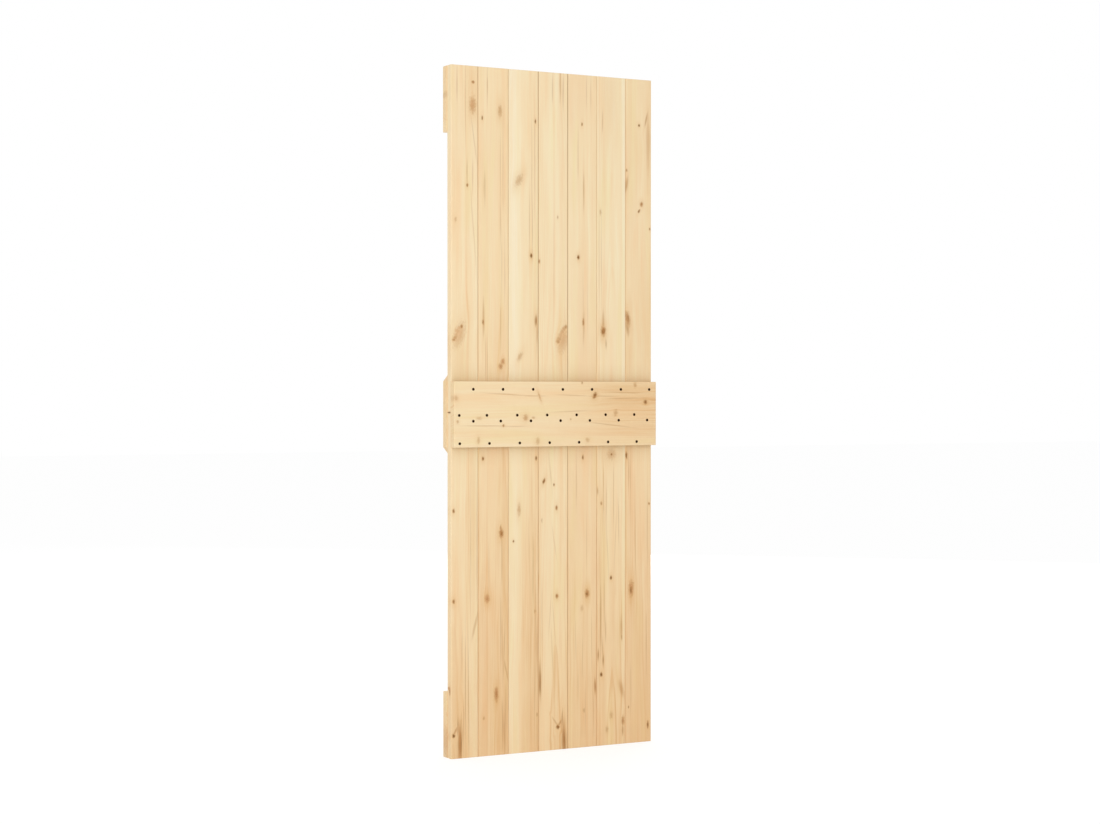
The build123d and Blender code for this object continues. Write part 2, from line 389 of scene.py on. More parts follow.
def pine_material(name, middle, along, across, wood, knots=(), streaks=(), edge_marks=(), stains=()):
    """Pine for one piece. middle, along and across give the piece's own place and grain direction. Knots are
    (across, along, width, height, darkness, strength, slant) in millimetres and degrees, with the strength of
    the tint around them last where it isn't the usual one. They are tight unless they are long or faint.
    Streaks are the same and always soft, and edge marks are knots with the first measure taken through the
    thickness. Stains are (across, along, width, height, strength)."""
    material, graph = new_material(name)
    math_, scaled = graph.math, graph.scaled
    through = Vector(along).cross(Vector(across))
    coordinates = graph.node("ShaderNodeTexCoord").outputs
    offset = graph.vector("SUBTRACT", coordinates["Object"], tuple(middle))
    ways = [graph.vector("DOT_PRODUCT", offset, tuple(way)) for way in (across, through, along)]
    place = graph.join(*ways)

    def facing(way, limits):
        square = math_("ABSOLUTE", graph.vector("DOT_PRODUCT", coordinates["Normal"], tuple(way)))
        return graph.smooth(square, *limits)

    # Knots, one after the other
    ragged = graph.noise(place, RAGGED_PACE, RICH)
    mottle = graph.noise(place, MOTTLE_PACE)
    fibrous = graph.noise(place, FIBROUS_PACE, RICH)
    state = {"Core": 0.0, "Dark": 0.5, "Halo": 0.0, "Push": 0.0}
    turned = graph.join(ways[1], ways[0], ways[2])
    tinted = [(*stain[:4], 0.0, 0.0, 0.0, stain[4]) for stain in stains]
    for marks, own_place, clear in (
            (tinted, place, False), (streaks, place, False),
            (knots, place, True), (edge_marks, turned, True)):
        for knot_across, knot_along, width, height, darkness, strength, slant, *glow in marks:
            knot = graph.node("ShaderNodeGroup", node_tree=knot_group)
            long = height > LONG_MARK * width
            tight = min(1.0, max(0.0, strength - FAINT_KNOT) / CLEAR_KNOT) if clear and not long else 0.0
            tint = glow[0] if glow else strength * min(1.0, width / SMALL_KNOT)
            values = {"Place": own_place, "Ragged": fibrous if long else ragged,
                      "Mottle": fibrous if long else mottle, "Across": knot_across * MM,
                      "Along": knot_along * MM, "Half Width": width * MM / 2, "Half Height": height * MM / 2,
                      "Darkness": darkness, "Strength": strength, "Slant": math.radians(slant),
                      "Tight": tight, "Glow": tint, **state}
            for key, value in values.items():
                graph.put(knot.inputs[key], value)
            state = {key: knot.outputs[key] for key in state}

    pushed = math_("ADD", ways[0], state.pop("Push"))

    # Pale and dark bands across the board, wandering a little along it
    drift = graph.noise(place, DRIFT_PACE)
    band_at = math_("ADD", pushed, math_("MULTIPLY", drift, DRIFT_SHIFT))
    band_at = math_("ADD", math_("DIVIDE", band_at, wood["width"]), 0.5)
    tone = graph.ramp(band_at, [(at, grey(value)) for at, value in wood["bands"]], "EASE")
    # Painted light: the tone is lighter towards one end of the piece and darker towards the other; on the
    # boards lighter towards the top, as the light falls off
    dark_at, pale_at, change = wood["shade"]
    painted_falloff = math_("SUBTRACT", graph.smooth(ways[2], dark_at, pale_at), 0.5)
    tone = math_("ADD", tone, math_("MULTIPLY", painted_falloff, change))
    contrast = math_("MULTIPLY", math_("SUBTRACT", CONTRAST_BASE, painted_falloff), wood["contrast"])

    pine = graph.node("ShaderNodeGroup", node_tree=pine_group)
    values = {"Place": graph.join(pushed, ways[1], ways[2]), "Seed": wood["seed"],
              "Pith Across": wood["pith"][0] * MM, "Pith Through": wood["pith"][1] * MM, "Lean": wood["lean"],
              "Ring Width": wood["ring"] * MM, "Contrast": contrast, "Tone": tone, "Blush": wood["blush"],
              "End": facing(along, END_FACING), **state}
    for key, value in values.items():
        graph.put(pine.inputs[key], value)
    colour = pine.outputs["Color"]
    if "seams" in wood:
        # Painted shade in the joints, fading towards the foot, and painted shade from ambient occlusion in
        # the corners beside the rails
        seam_shade_fade = scaled(graph.smooth(ways[2], *SEAM_FADE), 1 - SEAM_LEAST, SEAM_LEAST)
        seam_shade_fade = math_("ADD", seam_shade_fade, math_("MULTIPLY", drift, SEAM_DRIFT))
        corner = graph.node("ShaderNodeAmbientOcclusion", {"Distance": CORNER_SHADE_REACH}, samples=CORNER_SHADE_SAMPLES)
        painted_corner_shade = math_("MULTIPLY", math_("SUBTRACT", 1.0, corner.outputs["AO"]), facing(through, BROAD_FACING))
        painted_corner_shade = math_("MULTIPLY", painted_corner_shade, graph.smooth(ways[2], *CORNER_SHADE_START))
        for side, depth in zip((-1, 1), wood["seams"]):
            to_edge = math_("SUBTRACT", wood["width"] / 2, math_("MULTIPLY", ways[0], side))
            seam = math_("MULTIPLY", graph.smooth(to_edge, *SEAM_EDGE), depth)
            colour = graph.colours(math_("MULTIPLY", seam, seam_shade_fade), colour, SEAM)
        colour = graph.colours(painted_corner_shade, colour, PAINTED_CORNER_SHADE, "MULTIPLY")
    bump = graph.node("ShaderNodeBump", {
        "Strength": BUMP_STRENGTH, "Distance": BUMP_DEPTH, "Height": pine.outputs["Height"]})
    shader = graph.node("ShaderNodeBsdfPrincipled", {
        "Base Color": colour, "Roughness": pine.outputs["Roughness"], "Normal": bump.outputs[0],
        "Specular IOR Level": WOOD_SHEEN})
    graph.node("ShaderNodeOutputMaterial", {"Surface": shader.outputs[0]})
    return material


def wear(node, material):
    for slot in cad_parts[node].material_slots:
        slot.material = material


# The seven boards, left to right. pith is where the middle of the log lies, across and through the board
# from its middle, and ring the width of a year's growth, in millimetres. shade is painted light: where the
# wood is painted dark, at the foot, and where light, towards the top, as the light falls off, in metres above
# the foot, and the change of tone. seams is how deep the painted shade in the joint at either side looks.
# bands are tones at shares of the board's width.
BOARDS = (
    dict(seed=3.1, pith=(-38, 62), lean=-0.008, ring=4.2, contrast=0.12, blush=0.20,
         shade=(0.0, 1.5, 0.15), seams=(0.0, 0.35),
         bands=((0.0, 0.66), (0.07, 0.56), (0.2, 0.54), (0.35, 0.57), (0.50, 0.58), (0.55, 0.49),
                (0.62, 0.53), (0.68, 0.60), (0.9, 0.61), (0.96, 0.60), (1.0, 0.50))),
    dict(seed=7.7, pith=(30, -75), lean=0.010, ring=3.8, contrast=0.11, blush=0.30,
         shade=(0.0, 1.5, 0.21), seams=(0.25, 0.25),
         bands=((0.0, 0.42), (0.06, 0.49), (0.25, 0.52), (0.29, 0.45), (0.34, 0.52), (0.6, 0.50),
                (0.66, 0.45), (0.75, 0.49), (0.84, 0.43), (0.93, 0.46), (1.0, 0.40))),
    dict(seed=12.4, pith=(-95, 40), lean=0.006, ring=4.6, contrast=0.11, blush=0.15,
         shade=(0.0, 1.5, 0.25), seams=(0.2, 0.45),
         bands=((0.0, 0.60), (0.05, 0.71), (0.2, 0.73), (0.38, 0.66), (0.48, 0.55), (0.66, 0.53),
                (0.75, 0.45), (0.82, 0.49), (0.90, 0.44), (0.96, 0.49), (1.0, 0.42))),
    dict(seed=18.9, pith=(8, 48), lean=-0.012, ring=4.4, contrast=0.12, blush=0.12,
         shade=(0.0, 1.5, 0.15), seams=(0.5, 0.55),
         bands=((0.0, 0.51), (0.08, 0.61), (0.40, 0.61), (0.49, 0.66), (0.53, 0.55), (0.6, 0.66),
                (0.68, 0.63), (0.74, 0.54), (0.88, 0.58), (1.0, 0.54))),
    dict(seed=23.2, pith=(-110, -30), lean=0.004, ring=3.6, contrast=0.08, blush=0.42,
         shade=(0.0, 1.5, 0.24), seams=(0.55, 0.05),
         bands=((0.0, 0.50), (0.06, 0.55), (0.3, 0.55), (0.5, 0.53), (0.54, 0.49), (0.6, 0.54),
                (0.66, 0.50), (0.72, 0.55), (0.85, 0.51), (1.0, 0.49))),
    dict(seed=29.6, pith=(2, -44), lean=0.014, ring=4.6, contrast=0.17, blush=0.20,
         shade=(0.0, 1.5, 0.31), seams=(0.05, 0.1),
         bands=((0.0, 0.49), (0.06, 0.56), (0.1, 0.49), (0.15, 0.56), (0.22, 0.50), (0.4, 0.60),
                (0.5, 0.55), (0.7, 0.58), (0.85, 0.54), (0.90, 0.68), (0.97, 0.68), (1.0, 0.60))),
    dict(seed=34.3, pith=(45, 70), lean=0.009, ring=4.0, contrast=0.09, blush=0.42,
         shade=(0.0, 1.5, 0.22), seams=(0.15, 0.0),
         bands=((0.0, 0.43), (0.1, 0.50), (0.2, 0.46), (0.34, 0.52), (0.5, 0.55), (0.62, 0.53), (0.8, 0.49),
                (1.0, 0.46))),
)

# Each knot: from the board's left edge, above the foot, width, height, darkness, strength, slant
BOARD_KNOTS = (
    ((73, 2051, 9, 9, 0.5, 0.9, 0), (20, 2034, 5, 80, 0.1, 0.25, 0), (54, 1738, 6, 10, 0.65, 0.95, 0),
     (53, 1777, 4, 70, 0.2, 0.35, 0), (15, 1633, 8, 13, 0.1, 0.35, 0), (35, 1310, 9, 13, 0.55, 0.85, 0),
     (10, 1269, 11, 9, 0.5, 0.75, 0), (8, 751, 7, 12, 0.7, 0.9, 0), (8, 477, 8, 12, 0.65, 0.9, 0),
     (80, 404, 7, 72, 0.1, 0.35, -14), (8, 70, 9, 11, 0.9, 1.0, 0), (22, 93, 4, 52, 0.5, 0.75, 0),
     (29, 45, 12, 112, 0.36, 0.95, -2), (33, 40, 5, 90, 0.6, 0.85, -1), (24, 40, 4, 70, 0.4, 0.7, 1),
     (14, 84, 6, 30, 0.3, 0.6, -32)),
    ((74, 1969, 12, 31, 0.30, 0.55, 0), (74, 1974, 6, 12, 0.5, 0.5, 0), (14, 1945, 5, 12, 0.8, 0.9, 0),
     (17, 1325, 6, 18, 0.8, 0.9, 0), (18, 1336, 6, 90, 0.15, 0.45, 0), (83, 1204, 12, 16, 0.3, 0.8, 0),
     (76, 1190, 12, 16, 0.35, 0.8, 0), (16, 908, 7, 11, 0.75, 1.0, 0), (78, 678, 13, 24, 0.6, 1.0, 0),
     (76, 692, 6, 20, 0.45, 0.7, 0), (80, 600, 3, 130, 0.25, 0.45, 0), (30, 481, 15, 22, 0.3, 0.9, 0),
     (61, 187, 12, 40, 0.42, 0.95, 0), (19, 116, 6, 10, 0.3, 0.5, 0), (94, 259, 5, 70, 0.2, 0.4, 12),
     (92, 90, 6, 160, 0.1, 0.3, 0)),
    ((92, 1945, 5, 12, 0.85, 0.9, 0), (36, 1762, 18, 34, 0.2, 0.45, -30), (78, 1531, 8, 13, 0.85, 1.0, 0),
     (95, 1331, 8, 30, 0.6, 0.85, 0), (98, 1300, 5, 90, 0.1, 0.55, 0), (39, 1220, 12, 24, 0.2, 0.45, -25),
     (95, 907, 6, 13, 0.8, 0.9, 0), (36, 750, 10, 32, 0.1, 0.5, 0), (17, 653, 5, 7, 0.8, 0.9, 0),
     (91, 434, 6, 11, 0.4, 0.5, 0), (98, 115, 5, 11, 0.4, 0.5, 0)),
    ((76, 2064, 6, 84, 0.1, 0.4, 0), (86, 2042, 5, 90, 0.1, 0.3, 0), (3, 1514, 5, 13, 0.4, 0.8, 0),
     (67, 1653, 5, 9, 0.3, 0.5, 0), (95, 1313, 10, 13, 0.5, 0.75, 0), (69, 1268, 13, 12, 0.4, 0.7, 0),
     (19, 835, 8, 16, 0.8, 0.95, -20), (54, 824, 5, 9, 0.8, 0.9, 0), (63, 752, 7, 14, 0.65, 0.9, 0),
     (12, 715, 4, 14, 0.3, 0.4, 0), (64, 478, 9, 13, 0.5, 0.9, 0), (6, 216, 7, 100, 0.5, 0.85, 0),
     (6, 196, 5, 46, 0.7, 0.8, 0), (68, 71, 11, 13, 0.85, 1.0, 0), (89, 28, 13, 94, 0.38, 0.95, 1),
     (92, 24, 5, 72, 0.6, 0.85, 1), (76, 84, 6, 30, 0.3, 0.6, -32), (84, 95, 3, 56, 0.5, 0.7, 0),
     (80, 88, 3, 42, 0.4, 0.5, 0), (58, 88, 5, 32, 0.2, 0.4, 35)),
    ((50, 1946, 5, 10, 0.6, 0.85, 0), (37, 1531, 8, 12, 0.85, 1.0, 0), (55, 1329, 7, 24, 0.65, 0.85, 0),
     (56, 1318, 6, 90, 0.1, 0.35, 0), (53, 907, 6, 13, 0.75, 0.9, 0), (68, 481, 14, 24, 0.5, 0.9, 0),
     (67, 480, 6, 11, 0.8, 0.8, 0), (97, 188, 6, 42, 0.35, 0.9, 0), (58, 116, 9, 13, 0.3, 0.4, 0),
     (50, 436, 9, 18, 0.2, 0.35, 0)),
    ((13, 1675, 7, 18, 0.3, 0.4, 0), (23, 1303, 15, 28, 0.65, 1.0, 0), (23, 1330, 8, 60, 0.15, 0.5, 0),
     (33, 1262, 5, 27, 0.3, 0.5, 0), (52, 915, 8, 8, 0.6, 0.9, 0), (3, 801, 5, 22, 0.3, 0.5, 0),
     (16, 762, 6, 11, 0.5, 0.7, 0), (51, 527, 7, 12, 0.8, 1.0, 0), (16, 224, 8, 13, 0.85, 1.0, 0),
     (23, 268, 5, 36, 0.5, 0.8, 0), (5, 286, 5, 32, 0.45, 0.75, 0), (94, 72, 9, 27, 0.45, 0.85, 0),
     (93, 43, 6, 32, 0.15, 0.7, 0), (88, 174, 12, 46, 0.1, 0.5, 15), (88, 368, 6, 64, 0.15, 0.55, 0),
     (89, 338, 4, 20, 0.5, 0.7, 0), (52, 93, 11, 18, 0.2, 0.4, 0), (36, 50, 9, 18, 0.3, 0.4, 0)),
    ((49, 1955, 6.5, 7, 0.85, 1.0, 0), (75, 1975, 6, 40, 0.3, 0.6, -12), (82, 1900, 12, 150, 0.0, 0.3, 0),
     (4, 1811, 5, 9, 0.6, 0.7, 0), (4, 1766, 8, 40, 0.25, 0.6, -8), (58, 1706, 9, 13, 0.5, 0.9, 0),
     (49, 1684, 6, 13, 0.75, 0.9, -25), (88, 1629, 5, 9, 0.6, 0.8, 0), (8, 1342, 16, 42, 0.48, 0.85, 10),
     (7, 1316, 10, 44, 0.3, 0.6, 8), (4, 911, 6, 20, 0.8, 0.95, 0), (86, 757, 6, 8, 0.6, 0.8, 0),
     (21, 489, 15, 42, 0.35, 0.9, 0), (20, 483, 8, 22, 0.75, 0.9, 0), (24, 508, 12, 6, 0.4, 0.6, -20),
     (12, 114, 4, 9, 0.6, 0.7, 0), (82, 54, 7, 22, 0.65, 0.95, 0)),
)
# Fine dark lines and tinted streaks in the grain, given as the knots are
BOARD_STREAKS = (
    ((27, 1284, 28, 62, -0.2, 0.50, -18), (28, 1305, 12, 15, 0.25, 0.6, -35),
     (22, 1295, 16, 20, 0.08, 0.65, -25), (18, 1284, 14, 18, 0.12, 0.6, -20),
     (14, 1275, 13, 16, 0.35, 0.7, -30), (72, 1982, 18, 40, 0.05, 0.8, 0), (48, 1985, 3, 190, 0.1, 0.25, 0),
     (76, 1880, 4, 120, 0.1, 0.25, 8), (72, 1772, 3, 90, 0.15, 0.3, 0), (74, 1609, 4, 210, 0.1, 0.2, 4.5),
     (65, 640, 3, 340, 0.1, 0.3, 0), (85, 650, 3, 300, 0.1, 0.25, 0), (47, 200, 3, 330, 0.25, 0.45, 0),
     (57, 190, 3, 330, 0.25, 0.48, 0.5), (36, 330, 3, 120, 0.1, 0.25, -1), (41, 90, 3, 140, 0.2, 0.35, 0)),
    ((31, 2040, 3, 90, 0.3, 0.45, 0), (22, 1735, 7, 80, 0.1, 0.25, 0), (75, 1790, 3, 200, 0.1, 0.25, 0),
     (84, 1800, 3, 220, 0.1, 0.25, 0), (75, 1640, 4, 130, 0.1, 0.25, 0), (80, 1500, 3, 180, 0.1, 0.25, 0),
     (90, 1480, 3, 180, 0.1, 0.25, 0), (76, 1320, 3, 150, 0.1, 0.3, 0), (25, 1215, 3, 120, 0.1, 0.3, 0),
     (31, 1210, 3, 110, 0.1, 0.3, 0), (36, 560, 3, 160, 0.1, 0.25, 0), (76, 370, 3, 200, 0.2, 0.4, 0),
     (81, 340, 3, 200, 0.15, 0.3, 0.5), (88, 330, 3, 160, 0.2, 0.35, -2), (82, 90, 4, 130, 0.15, 0.45, 0),
     (88, 70, 5, 120, 0.2, 0.5, 1), (93, 120, 3, 110, 0.2, 0.4, -1)),
    ((80, 1800, 3, 260, 0.1, 0.25, 0), (90, 1830, 3, 300, 0.1, 0.25, 0), (72, 1630, 3, 180, 0.1, 0.3, 0),
     (82, 1620, 3, 170, 0.1, 0.3, 0), (70, 620, 3, 180, 0.1, 0.2, 0.5), (84, 560, 4, 200, 0.1, 0.3, 0),
     (92, 420, 3, 220, 0.12, 0.3, 0), (90, 200, 3, 160, 0.12, 0.3, -0.5), (98, 330, 4, 160, 0.15, 0.3, 0)),
    ((87, 1274, 28, 64, -0.2, 0.52, -12), (89, 1307, 13, 15, 0.3, 0.65, -35),
     (83, 1298, 14, 17, 0.2, 0.65, -25), (78, 1287, 14, 18, 0.15, 0.6, -20),
     (73, 1276, 14, 17, 0.3, 0.65, -25), (49, 2050, 4, 70, 0.15, 0.3, 0), (54, 1500, 3, 300, 0.1, 0.15, 0),
     (42, 860, 5, 90, 0.1, 0.2, 6), (56, 640, 4, 100, 0.1, 0.15, 9), (40, 420, 3, 110, 0.15, 0.2, -4),
     (54, 400, 3, 130, 0.15, 0.2, 5), (48, 300, 4, 140, 0.1, 0.2, 3), (12, 430, 3, 180, 0.1, 0.2, 0)),
    ((66, 2050, 3, 80, 0.1, 0.25, 0), (81, 2040, 3, 90, 0.1, 0.25, 0), (36, 1850, 3, 120, 0.15, 0.3, 0),
     (56, 1740, 5, 95, 0.25, 0.45, 0), (54, 1400, 3, 160, 0.1, 0.14, 0.5), (70, 1380, 3, 140, 0.1, 0.14, 0),
     (30, 830, 4, 120, 0.15, 0.25, 0), (66, 640, 3, 180, 0.1, 0.2, 0), (28, 330, 3, 120, 0.1, 0.2, 1),
     (36, 200, 3, 90, 0.1, 0.2, 0), (52, 290, 3, 110, 0.1, 0.22, -1), (62, 120, 3, 140, 0.1, 0.22, 0),
     (84, 330, 3, 160, 0.15, 0.25, 0), (90, 120, 3, 130, 0.12, 0.25, 1)),
    ((52, 915, 26, 28, 0.0, 0.4, 0), (20, 1960, 4, 60, 0.2, 0.3, 0), (8, 1550, 3, 280, 0.15, 0.25, 0),
     (16, 1540, 3, 260, 0.1, 0.25, 0), (14, 400, 4, 190, 0.35, 0.6, 0), (32, 367, 3, 70, 0.25, 0.45, 0),
     (20, 310, 3, 60, 0.2, 0.4, 2), (27, 450, 3, 140, 0.2, 0.3, 0), (38, 620, 3, 180, 0.1, 0.2, 3),
     (66, 640, 3, 200, 0.1, 0.2, -3), (24, 800, 3, 170, 0.15, 0.35, 0.5), (34, 760, 3, 120, 0.15, 0.3, -1),
     (60, 780, 3, 190, 0.15, 0.35, 0), (78, 700, 3, 150, 0.15, 0.3, 1)),
    ((12, 860, 3, 120, 0.2, 0.35, 0), (18, 840, 3, 160, 0.15, 0.3, 0), (36, 620, 4, 180, 0.1, 0.2, 0),
     (80, 690, 4, 200, 0.1, 0.25, 0), (76, 310, 3, 170, 0.25, 0.4, 0), (20, 180, 5, 140, 0.1, 0.2, 0)),
)
# Golden stains: from the board's left edge, above the foot, width, height, strength
BOARD_STAINS = (
    ((70, 2030, 26, 70, 0.45), (26, 1270, 24, 60, 0.45), (30, 1200, 40, 90, 0.4), (74, 690, 8, 180, 0.5),
     (30, 60, 44, 150, 0.6)),
    ((90, 560, 10, 230, 0.45), (80, 80, 22, 90, 0.6), (70, 1240, 30, 70, 0.2)),
    ((97, 1290, 6, 70, 0.4),),
    ((84, 1250, 24, 70, 0.5), (80, 50, 34, 90, 0.5)),
    ((57, 1320, 9, 60, 0.3), (60, 100, 50, 120, 0.25)),
    ((55, 2010, 30, 90, 0.30), (23, 1320, 14, 40, 0.4), (52, 915, 22, 22, 0.45), (92, 60, 14, 50, 0.4)),
    ((82, 1880, 9, 130, 0.55), (70, 1310, 44, 160, 0.35), (10, 1330, 16, 60, 0.55), (14, 1250, 24, 90, 0.4),
     (60, 90, 50, 140, 0.3), (48, 200, 22, 220, 0.3)),
)
# On the outer edge of the left board: from the middle of its thickness, above the foot, and so on
LEFT_EDGE_MARKS = (
    (-1, 1049, 30, 4, 1.0, 1.0, 0), (-3, 206, 9, 25, 0.5, 0.95, 0), (7, 212, 12, 8, 0.3, 0.8, 0))

joints = [PANEL_LEFT + LEFT_BOARD_WIDTH + BOARD_PITCH * count for count in range(BOARD_COUNT - 1)]
joints = [PANEL_LEFT] + joints + [PANEL_RIGHT]
board_edges = list(zip(joints, joints[1:]))
for number, (left, right) in enumerate(board_edges):
    half = (right - left) / 2 / MM
    knots, streaks, stains = [
        [(mark[0] - half, *mark[1:]) for mark in table[number]]
        for table in (BOARD_KNOTS, BOARD_STREAKS, BOARD_STAINS)]
    middle = ((left + right) / 2, BOARD_MIDDLE_Y, FOOT)
    wood = dict(BOARDS[number], width=right - left)
    edge_marks = LEFT_EDGE_MARKS if number == 0 else ()
    wear(f"board_{number + 1}", pine_material(
        f"pine_board_{number + 1}", middle, Z_UP, X_RIGHT, wood, knots, streaks, edge_marks, stains))

# Rails and braces, given as the boards are, with shade measured from the middle of the length; the rails are
# painted darker towards their right end. Their knots: from the middle of the width, from the middle of the
# length, and as above. A mark 350 mm from the middle is on the end of a rail.
RAIL_WOOD = dict(seed=41.5, pith=(120, -45), lean=0.030, ring=6.5, contrast=0.10, blush=0.2,
                 shade=(0.35, -0.15, 0.16), width=RAIL_HEIGHT,
                 bands=((0.0, 0.62), (0.13, 0.60), (0.19, 0.52), (0.5, 0.53), (0.75, 0.50), (1.0, 0.52)))
BACK_RAIL_KNOTS = (
    (49, -344, 15, 12, 0.3, 0.36, 0), (-22, -339, 9, 7, 0.3, 0.5, 0), (57, 130, 19, 12, 0.75, 0.95, 25),
    (36, 311, 13, 12, 0.7, 0.95, 0), (90, 274, 16, 9, 0.25, 0.5, 0), (97, 85, 8, 5, 0.5, 0.6, 0),
    (3, 204, 18, 11, 0.3, 0.5, 10), (-11, -111, 17, 13, 0.3, 0.6, 0), (-11, -84, 6, 10, 0.1, 0.5, 0),
    (-35, -186, 7, 7, 0.7, 0.8, 0), (-12, -267, 9, 16, 0.2, 0.35, 0), (-17, 45, 6, 5, 0.5, 0.5, 0),
    (-79, -270, 18, 8, 0.25, 0.4, 0), (-83, -69, 18, 11, 0.25, 0.4, 0), (-81, 104, 12, 12, 0.25, 0.4, 0),
    (54, -63, 27, 5, 0.25, 0.5, -20), (60, -165, 4, 120, 0.2, 0.35, 3.5), (56, -85, 3, 80, 0.2, 0.4, 1),
    (57, 60, 4, 110, 0.2, 0.3, 2), (55, 155, 3, 110, 0.2, 0.35, 0), (48, 238, 4, 110, 0.2, 0.35, -1),
    (66, 238, 4, 110, 0.15, 0.35, 1), (-35, -250, 3, 130, 0.2, 0.35, 0.5), (-37, -150, 3, 80, 0.2, 0.3, 0),
    (-35, 187, 4, 125, 0.2, 0.35, 6.5), (8, 49, 4, 110, 0.2, 0.25, -2))
BACK_RAIL_STAINS = ((45, 270, 60, 120, 0.4), (30, 320, 50, 60, 0.25), (-20, 250, 60, 90, 0.15))
FRONT_RAIL_KNOTS = {
    "front_top_rail": (
        (40, -210, 16, 20, 0.6, 1.0, 10), (-52, 60, 12, 14, 0.8, 1.0, 0), (20, 250, 18, 22, 0.3, 0.9, 0),
        (-70, -300, 8, 10, 0.7, 0.9, 0), (75, 20, 7, 9, 0.8, 0.9, 0),
        (13, -350, 18, 10, 0.2, 0.28, 0, 0.0)),
    "front_middle_rail": (
        (-30, -120, 18, 22, 0.5, 1.0, 0), (60, 190, 10, 14, 0.8, 1.0, 0), (-65, 280, 14, 16, 0.3, 0.9, 0),
        (15, -310, 9, 9, 0.75, 0.9, 0)),
    "front_bottom_rail": (
        (25, 140, 16, 18, 0.55, 1.0, 0), (-45, -60, 8, 10, 0.85, 1.0, 0), (70, -250, 18, 22, 0.25, 0.9, 0),
        (-20, 305, 10, 12, 0.7, 0.9, 0), (-60, -350, 80, 12, -0.2, 0.45, 0, 0.0)),
}
BRACE_WOOD = dict(seed=66.1, pith=(60, 40), lean=0.01, ring=4.2, contrast=0.16, blush=0.25,
                  shade=(-0.5, 0.5, 0.05), width=BRACE_WIDTH,
                  bands=((0.0, 0.56), (0.3, 0.50), (0.7, 0.53), (1.0, 0.46)))
BRACE_KNOTS = {
    "front_upper_brace": (
        (10, -260, 12, 16, 0.6, 1.0, 0), (-25, 40, 9, 12, 0.8, 1.0, 0), (22, 300, 15, 22, 0.35, 0.9, 0)),
    "front_lower_brace": (
        (-18, -330, 9, 13, 0.75, 1.0, 0), (20, -70, 16, 24, 0.35, 0.9, 0), (-8, 190, 10, 14, 0.7, 1.0, 0)),
}
# Up to the right, or down
BRACE_SLOPES = {"front_upper_brace": 1, "front_lower_brace": -1}
BRACE_SEED_STEP = 3
FRONT_RAIL_CUTS = {
    "front_top_rail": dict(seed=47.0, pith=(110, 50)),
    "front_middle_rail": dict(seed=52.3, pith=(40, 62)),
    "front_bottom_rail": dict(seed=57.6, pith=(-30, 74)),
}
wear("back_middle_rail", pine_material(
    "pine_back_rail", middle_of("back_middle_rail"), X_RIGHT, Z_UP, RAIL_WOOD, BACK_RAIL_KNOTS,
    stains=BACK_RAIL_STAINS))
for node, cut in FRONT_RAIL_CUTS.items():
    wood = dict(RAIL_WOOD, **cut)
    wear(node, pine_material("pine_" + node, middle_of(node), X_RIGHT, Z_UP, wood, FRONT_RAIL_KNOTS[node]))


def brace_line(node):
    """The middle of a brace, and the run and rise of its middle line."""
    low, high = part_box(node)
    rise = high.z - low.z
    diagonal = math.sqrt(RAIL_LENGTH ** 2 + rise ** 2 - BRACE_WIDTH ** 2)
    cut = BRACE_WIDTH * (rise * diagonal - BRACE_WIDTH * RAIL_LENGTH) / (rise ** 2 - BRACE_WIDTH ** 2)
    return (low + high) / 2, RAIL_LENGTH - cut, rise


for node, slope in BRACE_SLOPES.items():
    middle, run, rise = brace_line(node)
    angle = slope * math.atan2(rise, run)
    along = (math.cos(angle), 0.0, math.sin(angle))
    across = (-math.sin(angle), 0.0, math.cos(angle))
    wood = dict(BRACE_WOOD, seed=BRACE_WOOD["seed"] + BRACE_SEED_STEP * slope)
    wear(node, pine_material("pine_" + node, middle, along, across, wood, BRACE_KNOTS[node]))


# Countersunk screws
SCREW_HEAD_RADIUS = 4.4 * MM
SCREW_NECK_RADIUS = 1.8 * MM
SCREW_CONE_DEPTH = 2.6 * MM
SCREW_RIM = 0.25 * MM
SCREW_BEVEL_WIDTH = 0.15 * MM
SCREW_BEVEL_DEPTH = 0.1 * MM
SCREW_SUNK = 0.1 * MM
SCREW_SIDES = 32
SCREW_TURN = 37.0  # degrees from one screw to the next
RECESS_LENGTH = 4.6 * MM
RECESS_WIDTH = 1.1 * MM
RECESS_DEPTH = 1.7 * MM
RECESS_TAPER = 0.55
RECESS_OVERSHOOT = 1.0 * MM  # of the cutter, above the head
# Each row of the back rail, as shares: drop below its top, place across a whole board and the left board
BACK_SCREW_ROWS = ((0.12, 0.69, 0.68), (0.515, 0.16, 0.16), (0.603, 0.615, 0.68), (0.941, 0.245, 0.18))
SCREW_EDGE_MARGIN = 0.014
# Each row of the front top and bottom rails, as shares: drop, and place across any board
FRONT_SCREW_ROWS = ((0.27, 0.3), (0.73, 0.7))
# Screws of a brace: the side of its middle line, and the board, counted from 0
BRACE_SCREWS = ((1, 1), (-1, 2), (1, 4), (-1, 5))
BRACE_SCREW_OFFSET = 0.018
# Their dark finish
DARK_STEEL, WORN_STEEL = linear(46, 22, 0), linear(62, 33, 4)
WEAR_PACE, WEAR_RANGE = (900.0, 900.0, 900.0), (-0.05, 0.25)
STEEL_ROUGHNESS, WORN_ROUGHENS, STEEL_SHEEN = 0.55, 0.15, 0.12


def lathe(profile, sides):
    """A closed mesh turned about Z from (radius, height) points, with flat ends."""
    made = bmesh.new()
    rings = []
    for radius, height in profile:
        turn = [2 * math.pi * k / sides for k in range(sides)]
        rings.append([made.verts.new((radius * math.cos(a), radius * math.sin(a), height)) for a in turn])
    for lower, upper in zip(rings, rings[1:]):
        for k in range(sides):
            made.faces.new((lower[k], lower[(k + 1) % sides], upper[(k + 1) % sides], upper[k]))
    made.faces.new(list(reversed(rings[0])))
    made.faces.new(rings[-1])
    return made


